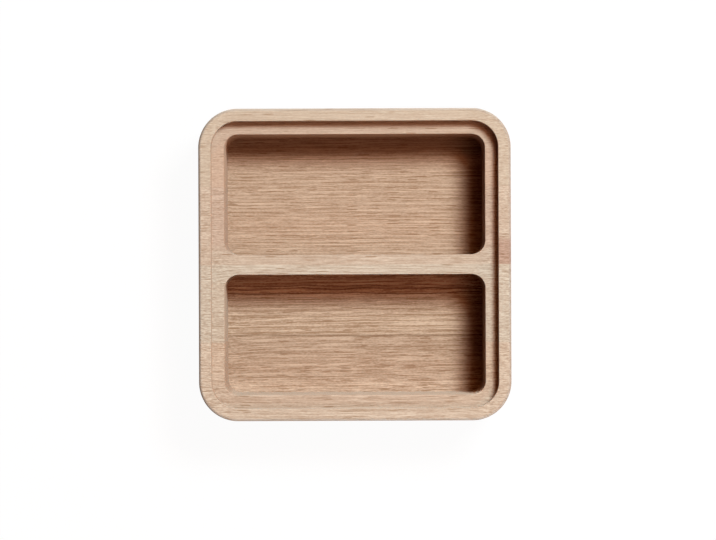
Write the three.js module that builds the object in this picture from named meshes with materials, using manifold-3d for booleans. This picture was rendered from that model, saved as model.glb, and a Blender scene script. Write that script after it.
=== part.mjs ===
// Open storage box in solid oak: a square block milled through with two wells and a stepped rim, on a glued base.
// Millimetres, +Z up, origin at the middle of the underside, wells one behind the other along Y, grain along X.
import * as THREE from "three";
import { mergeVertices } from "three/addons/utils/BufferGeometryUtils.js";
import Module from "manifold-3d";

const wasm = await Module();
wasm.setup();

// Driving dimensions
const SIDE = 120; // outside, both ways
const HEIGHT = 60;
const CORNER_RADIUS = 15; // upright outside corners
const RIM_WIDTH = 4.8;
const LEDGE_WIDTH = 4.8; // carries a lid inside the rim
const RECESS_DEPTH = 9; // rim top down to the ledge
const DIVIDER_WIDTH = 7.6;
const FLOOR_THICKNESS = 10;
const OUTER_EASE = 1.2; // sanded round on the outside edges
const INNER_EASE = 0.3; // sanded round on the rim, well and divider edges
const WALL_JOINTS = [-30, 0, 30]; // glue lines across the wall block, along Y
const FLOOR_JOINTS = [-28, 3, 34]; // glue lines across the base, clear of those above

// Fineness of the round parts
const CORNER_STEPS = 24; // per upright corner, even
const EDGE_STEPS = 5; // per eased edge

// Sizes that follow
const WALL_HEIGHT = HEIGHT - FLOOR_THICKNESS;
const LEDGE_HEIGHT = WALL_HEIGHT - RECESS_DEPTH;
const RECESS_SIDE = SIDE - 2 * RIM_WIDTH;
const WELL_WIDTH = RECESS_SIDE - 2 * LEDGE_WIDTH;
const WELL_DEPTH = (WELL_WIDTH - DIVIDER_WIDTH) / 2;
const WELL_CENTRE = (DIVIDER_WIDTH + WELL_DEPTH) / 2;
const RECESS_RADIUS = CORNER_RADIUS - RIM_WIDTH; // concentric with the outside
const WELL_RADIUS = RECESS_RADIUS - LEDGE_WIDTH;
const CUT_PAST = 5; // how far a cutter runs beyond the wood
const QUARTER = Math.PI / 2;

// Staves from front to back, each with the tone of its own board
const WALL_STAVES = [
  { name: "front_wall_stave", color: 0xd6b899 },
  { name: "front_divider_stave", color: 0xd8bc9f },
  { name: "back_divider_stave", color: 0xd2b395 },
  { name: "back_wall_stave", color: 0xd7b899 },
];
const FLOOR_STAVES = [
  { name: "front_floor_stave", color: 0xc9a585 },
  { name: "front_middle_floor_stave", color: 0xcba888 },
  { name: "back_middle_floor_stave", color: 0xc8a280 },
  { name: "back_floor_stave", color: 0xc9a483 },
];

// Outline of a rectangle with round corners, anticlockwise from above
function roundedOutline(width, depth, radius) {
  const x = width / 2 - radius;
  const y = depth / 2 - radius;
  return new THREE.Path()
    .absarc(x, y, radius, 0, QUARTER)
    .absarc(-x, y, radius, QUARTER, 2 * QUARTER)
    .absarc(-x, -y, radius, 2 * QUARTER, 3 * QUARTER)
    .absarc(x, -y, radius, 3 * QUARTER, 4 * QUARTER)
    .getPoints(CORNER_STEPS / 2);
}

// Closed form through one rounded outline, grown or shrunk evenly at each level from bottom to top
function loft(width, depth, radius, levels) {
  const points = levels.flatMap(({ z, grow }) =>
    roundedOutline(width + 2 * grow, depth + 2 * grow, radius + grow).map(
      (corner) => new THREE.Vector3(corner.x, corner.y, z),
    ),
  );
  const ring = points.length / levels.length;
  const top = points.length - ring;
  const faces = [];
  for (let start = 0; start < top; start += ring) {
    for (let i = 0; i < ring; i++) {
      const here = start + i;
      const next = start + ((i + 1) % ring);
      faces.push(here, next, next + ring);
      faces.push(here, next + ring, here + ring);
    }
  }
  for (let i = 1; i < ring - 1; i++) {
    faces.push(0, i + 1, i);
    faces.push(top, top + i, top + i + 1);
  }
  const geometry = new THREE.BufferGeometry().setFromPoints(points);
  geometry.setIndex(faces);
  return geometry;
}

// Quarter round of an eased edge: how far it has risen and moved aside at each step
function easedEdge(radius) {
  return Array.from({ length: EDGE_STEPS + 1 }, (_, step) => {
    const angle = (step / EDGE_STEPS) * QUARTER;
    return {
      rise: radius * Math.sin(angle),
      aside: radius * (1 - Math.cos(angle)),
    };
  });
}

function toSolid(geometry) {
  const bare = geometry.clone();
  bare.deleteAttribute("normal");
  bare.deleteAttribute("uv");
  const merged = mergeVertices(bare);
  return new wasm.Manifold(
    new wasm.Mesh({
      numProp: 3,
      vertProperties: merged.attributes.position.array,
      triVerts: new Uint32Array(merged.index.array),
    }),
  );
}

function toGeometry(solid) {
  const { vertProperties, triVerts } = solid.getMesh();
  const geometry = new THREE.BufferGeometry();
  geometry.setAttribute("position", new THREE.BufferAttribute(vertProperties, 3));
  geometry.setIndex(new THREE.BufferAttribute(triVerts, 1));
  geometry.computeVertexNormals();
  return geometry;
}

// Glued block of the walls and divider before milling, eased along its top edge
function wallBlank() {
  const topEdge = easedEdge(OUTER_EASE).map(({ rise, aside }) => ({
    z: WALL_HEIGHT - OUTER_EASE + rise,
    grow: -aside,
  }));
  return toSolid(loft(SIDE, SIDE, CORNER_RADIUS, [{ z: 0, grow: 0 }, ...topEdge]));
}

// Base panel, eased along its bottom edge
function basePanel() {
  const bottomEdge = easedEdge(OUTER_EASE).map(({ rise, aside }) => ({
    z: OUTER_EASE - rise,
    grow: -aside,
  }));
  const levels = [...bottomEdge.reverse(), { z: FLOOR_THICKNESS, grow: 0 }];
  return toSolid(loft(SIDE, SIDE, CORNER_RADIUS, levels));
}

// Space that a cutter clears from bottom to top, flaring at the top to ease the edge it leaves
function pocket(width, depth, radius, bottom, top) {
  const mouth = easedEdge(INNER_EASE).map(({ rise, aside }) => ({
    z: top - INNER_EASE + rise,
    grow: aside,
  }));
  const levels = [
    { z: bottom, grow: 0 },
    ...mouth,
    { z: top + CUT_PAST, grow: INNER_EASE },
  ];
  return loft(width, depth, radius, levels);
}

function milledBlock() {
  const recess = pocket(RECESS_SIDE, RECESS_SIDE, RECESS_RADIUS, LEDGE_HEIGHT, WALL_HEIGHT);
  let block = wallBlank().subtract(toSolid(recess));
  for (const centre of [-WELL_CENTRE, WELL_CENTRE]) {
    const well = pocket(WELL_WIDTH, WELL_DEPTH, WELL_RADIUS, -CUT_PAST, LEDGE_HEIGHT);
    block = block.subtract(toSolid(well.translate(0, centre, 0)));
  }
  return block;
}

// One named mesh for each stave that the glue lines part the form into
function staves(form, joints, boards) {
  const group = new THREE.Group();
  const bounds = [-SIDE, ...joints, SIDE];
  boards.forEach(({ name, color }, i) => {
    const [front, back] = [bounds[i], bounds[i + 1]];
    const cell = new THREE.BoxGeometry(2 * SIDE, back - front, 2 * HEIGHT);
    cell.translate(0, (front + back) / 2, 0);
    const geometry = toGeometry(form.intersect(toSolid(cell)));
    const material = new THREE.MeshStandardMaterial({ color, roughness: 0.6, metalness: 0 });
    const mesh = new THREE.Mesh(geometry, material);
    mesh.name = name;
    group.add(mesh);
  });
  return group;
}

const walls = staves(milledBlock(), WALL_JOINTS, WALL_STAVES);
walls.position.z = FLOOR_THICKNESS;
const base = staves(basePanel(), FLOOR_JOINTS, FLOOR_STAVES);

const storageBox = new THREE.Group();
storageBox.add(base, walls);

export default storageBox;
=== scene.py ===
import math

import bmesh
import bpy
from mathutils import Matrix, Vector


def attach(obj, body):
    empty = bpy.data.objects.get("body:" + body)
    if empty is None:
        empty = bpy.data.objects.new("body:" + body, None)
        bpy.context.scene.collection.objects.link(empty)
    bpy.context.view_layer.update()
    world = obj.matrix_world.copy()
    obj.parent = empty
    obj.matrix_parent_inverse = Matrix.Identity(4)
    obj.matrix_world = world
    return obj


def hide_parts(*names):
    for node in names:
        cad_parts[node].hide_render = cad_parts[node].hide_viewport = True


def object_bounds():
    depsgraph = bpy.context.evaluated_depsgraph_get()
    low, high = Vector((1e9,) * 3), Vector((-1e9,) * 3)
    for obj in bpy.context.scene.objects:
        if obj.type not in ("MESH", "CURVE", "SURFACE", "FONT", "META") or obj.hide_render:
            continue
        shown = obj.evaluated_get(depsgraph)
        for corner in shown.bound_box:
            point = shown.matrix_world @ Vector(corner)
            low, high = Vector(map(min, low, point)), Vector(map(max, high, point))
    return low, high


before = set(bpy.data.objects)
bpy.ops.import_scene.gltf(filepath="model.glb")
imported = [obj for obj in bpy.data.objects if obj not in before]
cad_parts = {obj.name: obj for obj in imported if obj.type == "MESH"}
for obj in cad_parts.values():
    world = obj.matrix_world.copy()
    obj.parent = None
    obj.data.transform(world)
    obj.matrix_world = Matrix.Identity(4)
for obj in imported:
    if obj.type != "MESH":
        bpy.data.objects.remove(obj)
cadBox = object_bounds()
scene = bpy.context.scene
scene.view_settings.view_transform = "Standard"
print("frame loaded:", ", ".join(sorted(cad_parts)))

millimetresPerMetre = 1000.0


# Shader node helpers
def feed(tree, socket, value):
    if isinstance(value, bpy.types.NodeSocket):
        tree.links.new(value, socket)
    else:
        socket.default_value = value


def addNode(tree, kind, inputs=(), **settings):
    node = tree.nodes.new(kind)
    for name, value in settings.items():
        setattr(node, name, value)
    for key, value in dict(inputs).items():
        feed(tree, node.inputs[key], value)
    return node


def calc(tree, operation, *terms):
    return addNode(tree, "ShaderNodeMath", enumerate(terms), operation=operation).outputs[0]


def calcVector(tree, operation, *terms):
    return addNode(tree, "ShaderNodeVectorMath", enumerate(terms), operation=operation).outputs[0]


def vectorToValue(tree, operation, *terms):
    node = addNode(tree, "ShaderNodeVectorMath", enumerate(terms), operation=operation)
    return node.outputs["Value"]


def scaleVector(tree, vector, factor):
    inputs = {0: vector, "Scale": factor}
    return addNode(tree, "ShaderNodeVectorMath", inputs, operation="SCALE").outputs[0]


def splitVector(tree, vector):
    return addNode(tree, "ShaderNodeSeparateXYZ", {0: vector}).outputs


def joinVector(tree, parts):
    return addNode(tree, "ShaderNodeCombineXYZ", parts).outputs[0]


def remap(tree, value, low, high, toLow=0.0, toHigh=1.0):
    numbers = enumerate((value, low, high, toLow, toHigh))
    node = addNode(tree, "ShaderNodeMapRange", numbers, interpolation_type="SMOOTHSTEP")
    return node.outputs[0]


def mixColour(tree, factor, first, second, blend="MIX"):
    inputs = {0: factor, 6: first, 7: second}
    return addNode(tree, "ShaderNodeMix", inputs, data_type="RGBA", blend_type=blend).outputs[2]


def noise(tree, where):
    inputs = {"Vector": where, "Scale": 1.0, "Detail": 1.0, "Roughness": 0.5}
    return addNode(tree, "ShaderNodeTexNoise", inputs)


def newGroup(name, inputs, outputs):
    tree = bpy.data.node_groups.new(name, "ShaderNodeTree")
    for label, kind in inputs.items():
        tree.interface.new_socket(label, in_out="INPUT", socket_type="NodeSocket" + kind)
    for label, kind in outputs.items():
        tree.interface.new_socket(label, in_out="OUTPUT", socket_type="NodeSocket" + kind)
    return tree, tree.nodes.new("NodeGroupInput").outputs, tree.nodes.new("NodeGroupOutput").inputs


# Oak figure in millimetres: along the grain first, then across it
oakFigure = {
    "bend": (90.0, 45.0, 7.0),        # slow drift of the fibres: length, width, how far
    "curl": (18.0, 9.0, 1.2),         # short waves in them
    "ringDrift": (300.0, 30.0, 2.0),  # uneven years: length, width, how many rings
    "earlyRise": (0.0, 0.1),          # where early wood starts and ends within a year
    "earlyFall": (0.6, 0.2),
    "lines": ((60.0, 0.22, 1.1), (18.0, 0.2, 1.05)),  # length, width, share
    "strokes": ((5.0, 0.2, 0.75), (1.2, 0.27, 0.64)),
    "band": (170.0, 4.5, 0.15),       # broad pale and brown bands
    "ends": (44.0, 53.0, 0.4, 2.1),   # ends of a board: from, to, share of lines, share of strokes
    "pore": (8.0, 0.56, 0.36),        # open pores: length, width, reach
    "poreCore": 0.45,                 # share of the reach at full depth
    "poreChance": (0.5, 1.15),        # in late and in early wood
    "poreTone": 1.5,
    "meanTone": 0.39,                 # 0 is pale, 1 is dark
    "darkestTone": 1.8,
    "recessShadeHeights": (53.0, 58.0),         # heights at which the painted shade and light below the rim ends
    "dividerSide": (4.0, 9.0),        # and its edge beside the divider
    "endFacing": (0.35, 0.9),         # how far end grain faces along the board
    "endGrain": (0.8, 0.71, 0.66),
    "endRings": 0.22,                 # how dark early wood is across the grain
    "edgeOutward": (6.0, 24.0),       # how far out an eased edge lies, and how far it tilts up
    "edgeTilt": (0.05, 0.3),
    "edge": (0.89, 0.91, 0.95),       # outer edges burnished by hands, and painted shade on them
    "leftShadeFacing": (-0.1, -0.8),
    "leftEdgeShade": (0.51, 0.505, 0.5),   # painted shade, the most on edges facing left, away from the key light
    "roughness": (0.6, 0.12, 0.15),   # mean, added in dark lines, added in pores
    "lineDepth": 0.6,                 # beside the depth of a pore
}


def stretched(tree, where, length, width, offset):
    sized = calcVector(tree, "MULTIPLY", where, (1 / length, 1 / width, 1 / width))
    return calcVector(tree, "ADD", sized, offset)


def fibreWave(tree, where, size, waviness, offset):
    length, width, reach = size
    push = noise(tree, stretched(tree, where, length, width, offset)).outputs["Color"]
    centred = calcVector(tree, "SUBTRACT", push, (0.5, 0.5, 0.5))
    across = calcVector(tree, "MULTIPLY", centred, (0.0, reach, reach))
    return scaleVector(tree, across, waviness)


def centredNoise(tree, where, length, width, offset):
    fac = noise(tree, stretched(tree, where, length, width, offset)).outputs["Fac"]
    return calc(tree, "SUBTRACT", fac, 0.5)


def poreMask(tree, where, offset, chance):
    length, width, reach = oakFigure["pore"]
    at = stretched(tree, where, length, width, offset)
    cells = addNode(tree, "ShaderNodeTexVoronoi", {"Vector": at, "Scale": 1.0})
    draw = addNode(tree, "ShaderNodeSeparateColor", {0: cells.outputs["Color"]}).outputs[0]
    present = calc(tree, "LESS_THAN", draw, chance)
    body = remap(tree, cells.outputs["Distance"], reach, reach * oakFigure["poreCore"])
    return calc(tree, "MULTIPLY", present, body)


def makeOakGroup():
    inputs = {
        "Board": "Vector",
        "Pith": "Vector",
        "Ring Width": "Float",
        "Rings": "Float",
        "Rise": "Float",
        "Waviness": "Float",
        "Contrast": "Float",
        "Pores": "Float",
        "Pale": "Color",
        "Dark": "Color",
        "RecessShade": "Color",
    }
    outputs = {"Color": "Color", "Roughness": "Float", "Height": "Float"}
    tree, given, out = newGroup("oakBoard", inputs, outputs)
    board = given["Board"]
    coords = addNode(tree, "ShaderNodeTexCoord").outputs
    inMillimetres = scaleVector(tree, coords["Object"], millimetresPerMetre)
    along, across, height = splitVector(tree, inMillimetres)
    facing = splitVector(tree, coords["Normal"])

    # fibres wander round the straight grain
    drop = calc(tree, "MULTIPLY", calc(tree, "MULTIPLY", along, given["Rise"]), -1.0)
    level = calcVector(tree, "ADD", inMillimetres, joinVector(tree, {1: drop}))
    bend = fibreWave(tree, inMillimetres, oakFigure["bend"], given["Waviness"], board)
    curl = fibreWave(tree, inMillimetres, oakFigure["curl"], given["Waviness"], board)
    grain = calcVector(tree, "ADD", calcVector(tree, "ADD", level, bend), curl)

    # yearly rings round the pith
    fromPith = calcVector(tree, "SUBTRACT", grain, given["Pith"])
    spoke = calcVector(tree, "MULTIPLY", fromPith, (0.0, 1.0, 1.0))
    radius = vectorToValue(tree, "LENGTH", spoke)
    driftLength, driftWidth, driftRings = oakFigure["ringDrift"]
    drift = centredNoise(tree, grain, driftLength, driftWidth, board)
    years = calc(tree, "DIVIDE", radius, given["Ring Width"])
    year = calc(tree, "FRACT", calc(tree, "MULTIPLY_ADD", drift, driftRings, years))
    rise = remap(tree, year, *oakFigure["earlyRise"])
    early = calc(tree, "MULTIPLY", rise, remap(tree, year, *oakFigure["earlyFall"]))

    # broad bands and fine lines, fainter at the ends of a board, and short strokes, bolder there
    length, width, share = oakFigure["band"]
    lines = calc(tree, "MULTIPLY", centredNoise(tree, grain, length, width, board), share)
    for length, width, share in oakFigure["lines"]:
        line = centredNoise(tree, grain, length, width, board)
        lines = calc(tree, "MULTIPLY_ADD", line, share, lines)
    endFrom, endTo, lineShare, strokeShare = oakFigure["ends"]
    fromMiddle = calc(tree, "ABSOLUTE", along)
    calm = remap(tree, fromMiddle, endFrom, endTo, 1.0, lineShare)
    lines = calc(tree, "MULTIPLY", lines, calm)
    lively = remap(tree, fromMiddle, endFrom, endTo, 1.0, strokeShare)
    for length, width, share in oakFigure["strokes"]:
        stroke = calc(tree, "MULTIPLY", centredNoise(tree, grain, length, width, board), share)
        lines = calc(tree, "MULTIPLY_ADD", stroke, lively, lines)

    # tone from the lines, the early wood and the pores
    likely = remap(tree, early, 0.0, 1.0, *oakFigure["poreChance"])
    pores = poreMask(tree, grain, board, calc(tree, "MULTIPLY", likely, given["Pores"]))
    tone = calc(tree, "MULTIPLY_ADD", lines, given["Contrast"], oakFigure["meanTone"])
    endGrain = remap(tree, calc(tree, "ABSOLUTE", facing[0]), *oakFigure["endFacing"])
    ringShare = remap(tree, endGrain, 0.0, 1.0, given["Rings"], oakFigure["endRings"])
    tone = calc(tree, "MULTIPLY_ADD", early, ringShare, tone)
    poreTone = calc(tree, "MULTIPLY", calm, oakFigure["poreTone"])
    tone = calc(tree, "MULTIPLY_ADD", pores, poreTone, tone)
    tone = calc(tree, "MINIMUM", calc(tree, "MAXIMUM", tone, 0.0), oakFigure["darkestTone"])
    wood = mixColour(tree, tone, given["Pale"], given["Dark"])

    # painted shade and light on the ledges and inner walls below the rim, and end grain drinks
    # more oil
    low = remap(tree, height, *oakFigure["recessShadeHeights"], 1.0, 0.0)
    besideDivider = remap(tree, calc(tree, "ABSOLUTE", across), *oakFigure["dividerSide"])
    shadeBelowRim = calc(tree, "MULTIPLY", low, besideDivider)
    # painted shade and light below the rim, away from the divider
    wood = mixColour(tree, shadeBelowRim, wood, given["RecessShade"], "MULTIPLY")
    wood = mixColour(tree, endGrain, wood, (*oakFigure["endGrain"], 1), "MULTIPLY")

    # hands burnish the outer edges, and painted shade darkens them, the most where they face left,
    # away from the key light
    flat = calcVector(tree, "MULTIPLY", inMillimetres, (1.0, 1.0, 0.0))
    outward = vectorToValue(tree, "DOT_PRODUCT", flat, coords["Normal"])
    aside = remap(tree, outward, *oakFigure["edgeOutward"])
    tilted = remap(tree, calc(tree, "ABSOLUTE", facing[2]), *oakFigure["edgeTilt"])
    edge = calc(tree, "MULTIPLY", aside, tilted)
    # painted shade on the edges that face left
    leftShade = remap(tree, facing[0], *oakFigure["leftShadeFacing"])
    burnishAndShade = mixColour(tree, leftShade, (*oakFigure["edge"], 1), (*oakFigure["leftEdgeShade"], 1))
    feed(tree, out["Color"], mixColour(tree, edge, wood, burnishAndShade, "MULTIPLY"))

    mean, inLines, inPores = oakFigure["roughness"]
    worn = calc(tree, "MULTIPLY_ADD", lines, inLines, mean)
    feed(tree, out["Roughness"], calc(tree, "MULTIPLY_ADD", pores, inPores, worn))
    grooves = calc(tree, "MULTIPLY", lines, -oakFigure["lineDepth"])
    feed(tree, out["Height"], calc(tree, "MULTIPLY_ADD", pores, -1.0, grooves))
    return tree


oakGroup = makeOakGroup()
print("oak figure made")


# Stretch of a board that has its own tone or bolder lines, in millimetres, with ragged edges
def makeMarkGroup():
    inputs = {
        "From": "Vector",
        "To": "Vector",
        "Blur": "Vector",
        "Wave": "Vector",
        "Reach": "Float",
    }
    tree, given, out = newGroup("boardMark", inputs, {"Cover": "Float"})
    coords = addNode(tree, "ShaderNodeTexCoord").outputs
    inMillimetres = scaleVector(tree, coords["Object"], millimetresPerMetre)
    wave = noise(tree, calcVector(tree, "DIVIDE", inMillimetres, given["Wave"])).outputs["Fac"]
    push = calc(tree, "MULTIPLY", calc(tree, "SUBTRACT", wave, 0.5), given["Reach"])
    ragged = calcVector(tree, "ADD", inMillimetres, joinVector(tree, {0: push, 1: push}))
    pastStart = calcVector(tree, "SUBTRACT", ragged, given["From"])
    rising = calcVector(tree, "DIVIDE", pastStart, given["Blur"])
    beforeEnd = calcVector(tree, "SUBTRACT", given["To"], ragged)
    falling = calcVector(tree, "DIVIDE", beforeEnd, given["Blur"])
    cover = 1.0
    for side in (rising, falling):
        for part in splitVector(tree, side):
            cover = calc(tree, "MULTIPLY", cover, remap(tree, part, 0.0, 1.0))
    feed(tree, out["Cover"], cover)
    return tree


markGroup = makeMarkGroup()


def markCover(tree, mark):
    length, width, reach = mark["ragged"]
    inputs = {
        "From": mark["from"],
        "To": mark["to"],
        "Blur": mark["blur"],
        "Wave": (length, width, width),
        "Reach": reach,
    }
    cover = addNode(tree, "ShaderNodeGroup", node_tree=markGroup)
    for label, value in inputs.items():
        feed(tree, cover.inputs[label], value)
    return cover.outputs["Cover"]


oakFinish = {
    "pale": (1.18, 1.27, 1.36),  # times the mean tone of a board
    "dark": (0.66, 0.56, 0.475),
    "bump": 0.15,
    "poreDepth": 0.0002,  # metres
    "specular": 0.12,     # matt oil
    "diffuseRoughness": 0.85,
    "bounce": (0.18, 0.06, 0.03),  # share of the light that one face throws on another
}


def makeOak(stave):
    material = bpy.data.materials.new(stave["node"] + "_oak")
    material.use_nodes = True
    tree = material.node_tree
    tree.nodes.clear()
    oak = addNode(tree, "ShaderNodeGroup", node_tree=oakGroup)
    for label, value in stave["oak"].items():
        feed(tree, oak.inputs[label], value)
    for label, shares in (("Pale", oakFinish["pale"]), ("Dark", oakFinish["dark"])):
        tone = [share * part for share, part in zip(shares, stave["tone"])]
        feed(tree, oak.inputs[label], (*tone, 1))
    contrast = stave["oak"]["Contrast"]
    for strip in stave.get("boldStrips", ()):
        cover = markCover(tree, strip)
        contrast = calc(tree, "MULTIPLY_ADD", cover, strip["contrast"], contrast)
    feed(tree, oak.inputs["Contrast"], contrast)
    colour = oak.outputs["Color"]
    for mark in stave.get("marks", ()):
        colour = mixColour(tree, markCover(tree, mark), colour, (*mark["tone"], 1), "MULTIPLY")
    bounced = addNode(tree, "ShaderNodeLightPath").outputs["Is Diffuse Ray"]
    colour = mixColour(tree, bounced, colour, (*oakFinish["bounce"], 1), "MULTIPLY")
    relief = {
        "Height": oak.outputs["Height"],
        "Strength": oakFinish["bump"],
        "Distance": oakFinish["poreDepth"],
    }
    inputs = {
        "Base Color": colour,
        "Roughness": oak.outputs["Roughness"],
        "Specular IOR Level": oakFinish["specular"],
        "Diffuse Roughness": oakFinish["diffuseRoughness"],
        "Normal": addNode(tree, "ShaderNodeBump", relief).outputs[0],
    }
    shader = addNode(tree, "ShaderNodeBsdfPrincipled", inputs)
    output = addNode(tree, "ShaderNodeOutputMaterial")
    tree.links.new(shader.outputs[0], output.inputs["Surface"])
    return material


# Marks in single boards: a tone times the board's own, and where it lies. Heartwood and a glue
# line are in the wood; the strips in the floors are painted light and painted shade.
heartwood = {
    "tone": (0.86, 0.75, 0.73),
    "from": (53.5, -4.0, 56.0),
    "to": (68.0, 10.6, 70.0),
    "blur": (2.0, 2.4, 3.5),
    "ragged": (6.0, 0.7, 3.0),  # length, width, how far
}
glueLine = {
    "tone": (0.76, 0.71, 0.66),
    "from": (-65.0, -28.6, -1.0),
    "to": (65.0, -27.4, 12.0),
    "blur": (1.0, 0.45, 0.5),
    "ragged": (14.0, 3.0, 0.5),
}
# painted light: the floor paler near the lit front wall, as light thrown back from it
paintedLightFront = {
    "tone": (1.17, 1.21, 1.25),
    "from": (-65.0, -65.0, -2.0),
    "to": (65.0, -43.5, 14.0),
    "blur": (1.0, 5.0, 1.0),
    "ragged": (14.0, 3.0, 1.5),
}
# painted light: a paler strip in the shadow beside the divider
paintedLightByDivider = {
    "tone": (1.27, 1.32, 1.37),
    "from": (-54.0, -14.5, 5.0),
    "to": (54.0, 10.0, 14.0),
    "blur": (1.0, 5.0, 1.0),
    "ragged": (14.0, 3.0, 1.5),
}
# painted shade: a browner strip in the shadow beside the back wall
paintedShadeByBackWall = {
    "tone": (0.84, 0.86, 0.86),
    "from": (-54.0, 42.0, 5.0),
    "to": (54.0, 54.0, 14.0),
    "blur": (1.0, 3.0, 1.0),
    "ragged": (14.0, 3.0, 1.5),
}
boldBack = {
    "contrast": 2.0,  # added to the board's own
    "from": (-54.0, -16.0, 5.0),
    "to": (54.0, 10.0, 14.0),
    "blur": (1.0, 5.0, 1.0),
    "ragged": (14.0, 3.0, 1.5),
}
darkYears = tuple(
    {
        "tone": (0.55, 0.45, 0.4),
        "from": (-54.0, middle - 0.4, 5.0),
        "to": (54.0, middle + 0.4, 14.0),
        "blur": (1.0, 0.4, 0.5),
        "ragged": (16.0, 2.5, 2.2),
    }
    for middle in (-8.4, -9.6, -11.2)
)

# Staves of the wall block and of the base, back to front
staves = [
    {
        "node": "back_wall_stave",
        "slot": "wall_oak",
        "tone": (0.665, 0.588, 0.457),
        "oak": {
            "Board": (3.3, 1.7, 7.4),  # place in the figure
            "Pith": (0, 160, -90),     # middle of the tree
            "Ring Width": 1.7,
            "Rings": 0.04,             # how dark early wood is along the grain
            "Rise": 0.0,               # slope of the grain
            "Waviness": 0.4,
            "Contrast": 0.75,
            "Pores": 0.15,
            "RecessShade": (1.01, 0.91, 0.88, 1),  # times the tone below the rim: painted shade and light
        },
    },
    {
        "node": "back_divider_stave",
        "slot": "wall_oak",
        "tone": (0.655, 0.563, 0.437),
        "marks": (heartwood,),
        "oak": {
            "Board": (11.2, 5.6, 2.3),
            "Pith": (0, -140, -120),
            "Ring Width": 1.9,
            "Rings": 0.04,
            "Rise": 0.0,
            "Waviness": 0.4,
            "Contrast": 1.05,
            "Pores": 0.18,
            "RecessShade": (0.985, 0.93, 0.92, 1),
        },
    },
    {
        "node": "front_divider_stave",
        "slot": "wall_oak",
        "tone": (0.663, 0.603, 0.482),
        "oak": {
            "Board": (17.6, 9.3, 4.8),
            "Pith": (0, 120, -150),
            "Ring Width": 2.2,
            "Rings": 0.04,
            "Rise": 0.0,
            "Waviness": 0.4,
            "Contrast": 1.05,
            "Pores": 0.18,
            "RecessShade": (1.0, 0.97, 0.95, 1),
        },
    },
    {
        "node": "front_wall_stave",
        "slot": "wall_oak",
        "tone": (0.677, 0.588, 0.458),
        "oak": {
            "Board": (23.4, 2.2, 8.6),
            "Pith": (0, -150, -60),
            "Ring Width": 2.0,
            "Rings": 0.04,
            "Rise": 0.0,
            "Waviness": 0.45,
            "Contrast": 1.2,
            "Pores": 0.2,
            "RecessShade": (1.0, 0.945, 0.91, 1),
        },
    },
    {
        "node": "back_floor_stave",
        "slot": "floor_oak",
        "tone": (0.695, 0.524, 0.368),
        "marks": (paintedShadeByBackWall,),
        "oak": {
            "Board": (29.7, 7.4, 1.2),
            "Pith": (0, 200, -60),
            "Ring Width": 1.38,
            "Rings": 0.24,
            "Rise": 0.0,
            "Waviness": 0.35,
            "Contrast": 1.5,
            "Pores": 0.36,
            "RecessShade": (1, 1, 1, 1),
        },
    },
    {
        "node": "back_middle_floor_stave",
        "slot": "floor_oak",
        "tone": (0.695, 0.524, 0.368),
        "oak": {
            "Board": (31.2, 3.8, 6.3),
            "Pith": (0, -180, -80),
            "Ring Width": 1.38,
            "Rings": 0.24,
            "Rise": 0.0,
            "Waviness": 0.35,
            "Contrast": 1.5,
            "Pores": 0.36,
            "RecessShade": (1, 1, 1, 1),
        },
    },
    {
        "node": "front_middle_floor_stave",
        "slot": "floor_oak",
        "tone": (0.715, 0.553, 0.392),
        "marks": (glueLine, paintedLightByDivider, *darkYears),
        "boldStrips": (boldBack,),
        "oak": {
            "Board": (37.5, 8.2, 5.7),
            "Pith": (0, 150, -60),
            "Ring Width": 1.95,
            "Rings": 0.36,
            "Rise": 0.005,
            "Waviness": 0.25,
            "Contrast": 1.85,
            "Pores": 0.46,
            "RecessShade": (1, 1, 1, 1),
        },
    },
    {
        "node": "front_floor_stave",
        "slot": "floor_oak",
        "tone": (0.66, 0.494, 0.345),
        "marks": (glueLine, paintedLightFront),
        "oak": {
            "Board": (58.7, 27.4, 2.6),
            "Pith": (0, -200, -70),
            "Ring Width": 1.75,
            "Rings": 0.2,
            "Rise": 0.015,
            "Waviness": 0.4,
            "Contrast": 1.9,
            "Pores": 0.55,
            "RecessShade": (1, 1, 1, 1),
        },
    },
]
staveMesh = {
    "weld": 1e-6,
    "flatAngle": math.radians(0.1),  # faces flatter than this to each other become one
    "sharpAngle": math.radians(40.0),
}


def makeStave(stave):
    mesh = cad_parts[stave["node"]].data.copy()
    mesh.materials.clear()
    solid = bmesh.new()
    solid.from_mesh(mesh)
    bmesh.ops.remove_doubles(solid, verts=solid.verts, dist=staveMesh["weld"])
    bmesh.ops.dissolve_limit(
        solid, angle_limit=staveMesh["flatAngle"], verts=solid.verts, edges=solid.edges
    )
    for face in solid.faces:
        face.smooth = True
    for edge in solid.edges:
        edge.smooth = edge.calc_face_angle(math.pi) < staveMesh["sharpAngle"]
    fresh = bpy.data.meshes.new(stave["node"] + "_wood")
    solid.to_mesh(fresh)
    solid.free()
    fresh.materials.append(makeOak(stave))
    piece = bpy.data.objects.new(stave["node"] + "_wood", fresh)
    scene.collection.objects.link(piece)
    evenShading = piece.modifiers.new("even shading", "WEIGHTED_NORMAL")
    evenShading.keep_sharp = True
    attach(piece, "root")
    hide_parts(stave["node"])
    return piece


pieces = [makeStave(stave) for stave in staves]
print("staves made:", len(pieces))

# White floor that still shows the shadow, and lifts light on to the sides and the underside
floorLook = {"size": 20.0, "height": -0.0002, "glow": 0.96, "shadowShare": 0.05, "lift": 0.7}


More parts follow.
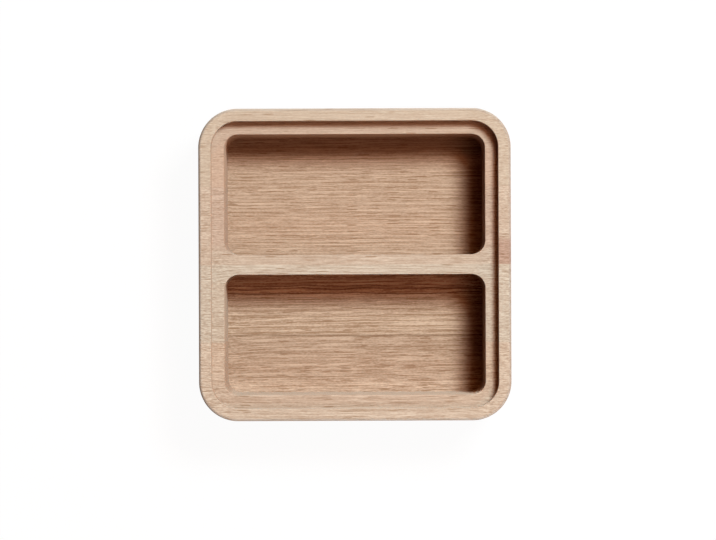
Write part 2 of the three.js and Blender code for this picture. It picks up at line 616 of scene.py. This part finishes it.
def makeFloor():
    half = floorLook["size"] / 2
    corners = ((-half, -half), (half, -half), (half, half), (-half, half))
    mesh = bpy.data.meshes.new("floor")
    mesh.from_pydata([(x, y, floorLook["height"]) for x, y in corners], [], [(0, 1, 2, 3)])
    material = bpy.data.materials.new("white_floor")
    material.cycles.emission_sampling = "NONE"
    material.use_nodes = True
    tree = material.node_tree
    tree.nodes.clear()
    rays = addNode(tree, "ShaderNodeLightPath").outputs
    seen = calc(tree, "MAXIMUM", rays["Is Camera Ray"], rays["Is Glossy Ray"])
    seen = calc(tree, "MAXIMUM", seen, rays["Is Transmission Ray"])
    glow = addNode(tree, "ShaderNodeEmission", {"Strength": floorLook["glow"]}).outputs[0]
    share = floorLook["shadowShare"]
    shadow = addNode(tree, "ShaderNodeBsdfDiffuse", {"Color": (share, share, share, 1)}).outputs[0]
    lift = addNode(tree, "ShaderNodeEmission", {"Strength": floorLook["lift"]}).outputs[0]
    white = addNode(tree, "ShaderNodeAddShader", {0: glow, 1: shadow}).outputs[0]
    above = addNode(tree, "ShaderNodeMixShader", {0: seen, 1: lift, 2: white}).outputs[0]
    clear = addNode(tree, "ShaderNodeBsdfTransparent").outputs[0]
    backFace = addNode(tree, "ShaderNodeNewGeometry").outputs["Backfacing"]
    both = addNode(tree, "ShaderNodeMixShader", {0: backFace, 1: above, 2: clear}).outputs[0]
    tree.links.new(both, addNode(tree, "ShaderNodeOutputMaterial").inputs["Surface"])
    mesh.materials.append(material)
    floor = bpy.data.objects.new("floor", mesh)
    scene.collection.objects.link(floor)


makeFloor()

# Light: a level of 1 shows a colour about as it is written
boxTop = Vector((0, 0, cadBox[1].z))
lamps = {
    "key": {
        "at": (0.332, 0.350, 1.25),
        "size": (0.25, 0.25),
        "level": 0.94,
        "tint": (0.69, 0.835, 0.91),
    },
    "warmTop": {
        "at": (0.245, 0.255, 1.25),
        "size": (0.2, 0.2),
        "level": 0.18,
        "tint": (1, 0.44, 0.2),
    },
    "lowFront": {
        "at": (0.643, -0.766, 0.64),
        "size": (0.3, 0.3),
        "level": 0.05,
        "tint": (1, 0.7, 0.5),
    },
    "lowBack": {
        "at": (0.1, 0.85, 1.02),
        "size": (0.3, 0.3),
        "level": 0.07,
        "tint": (1, 0.35, 0.1),
    },
    "topFill": {
        "at": (0.25, -0.08, 1.06),
        "size": (0.45, 0.3),
        "level": 0.16,
        "tint": (1, 0.46, 0.3),
    },
}


def makeLamp(name, lamp):
    data = bpy.data.lights.new(name, "AREA")
    data.shape = "RECTANGLE"
    data.size, data.size_y = lamp["size"]
    data.color = lamp["tint"]
    at = Vector(lamp["at"])
    toBox = boxTop - at
    slant = -toBox.normalized().z
    data.energy = lamp["level"] * (math.pi * toBox.length) ** 2 / slant
    light = bpy.data.objects.new(name, data)
    light.location = at
    light.visible_glossy = False
    light.rotation_euler = toBox.to_track_quat("-Z", "Y").to_euler()
    scene.collection.objects.link(light)


for name, lamp in lamps.items():
    makeLamp(name, lamp)

sky = {
    "seen": 1.0,
    "light": 0.07,
    "tint": (1, 0.25, 0.1),
    "ceiling": (0.25, 0.5),  # heights between which its mirrored white ends
}


def makeSky():
    scene.world = bpy.data.worlds.new("studio")
    scene.world.use_nodes = True
    tree = scene.world.node_tree
    tree.nodes.clear()
    rays = addNode(tree, "ShaderNodeLightPath").outputs
    coords = addNode(tree, "ShaderNodeTexCoord").outputs
    height = splitVector(tree, coords["Generated"])[2]
    mirrored = calc(tree, "MAXIMUM", rays["Is Glossy Ray"], rays["Is Transmission Ray"])
    mirrored = calc(tree, "MULTIPLY", mirrored, remap(tree, height, *sky["ceiling"], 1.0, 0.0))
    seen = calc(tree, "MAXIMUM", rays["Is Camera Ray"], mirrored)
    dimLook = {"Color": (*sky["tint"], 1), "Strength": sky["light"]}
    dim = addNode(tree, "ShaderNodeBackground", dimLook).outputs[0]
    whiteLook = {"Color": (1, 1, 1, 1), "Strength": sky["seen"]}
    white = addNode(tree, "ShaderNodeBackground", whiteLook).outputs[0]
    both = addNode(tree, "ShaderNodeMixShader", {0: seen, 1: dim, 2: white}).outputs[0]
    tree.links.new(both, addNode(tree, "ShaderNodeOutputWorld").inputs["Surface"])


makeSky()
print("floor, lamps and sky made")

# Camera straight above the middle of the picture
cameraView = {
    "eye": (0.00121, -0.00211, 1.510),
    "aim": (0.00121, -0.00211, 0.060),
    "roll": math.radians(-0.22),
    "lens": 189.95,
    "sensor": 36.0,
}


def makeCamera():
    data = bpy.data.cameras.new("camera")
    data.lens, data.sensor_width = cameraView["lens"], cameraView["sensor"]
    camera = bpy.data.objects.new("camera", data)
    eye = Vector(cameraView["eye"])
    back = (eye - Vector(cameraView["aim"])).normalized()
    upright = Vector((-math.sin(cameraView["roll"]), math.cos(cameraView["roll"]), 0))
    right = upright.cross(back).normalized()
    axes = Matrix((right, back.cross(right), back)).transposed().to_4x4()
    camera.matrix_world = Matrix.Translation(eye) @ axes
    scene.collection.objects.link(camera)
    scene.camera = camera


makeCamera()
print("camera made")
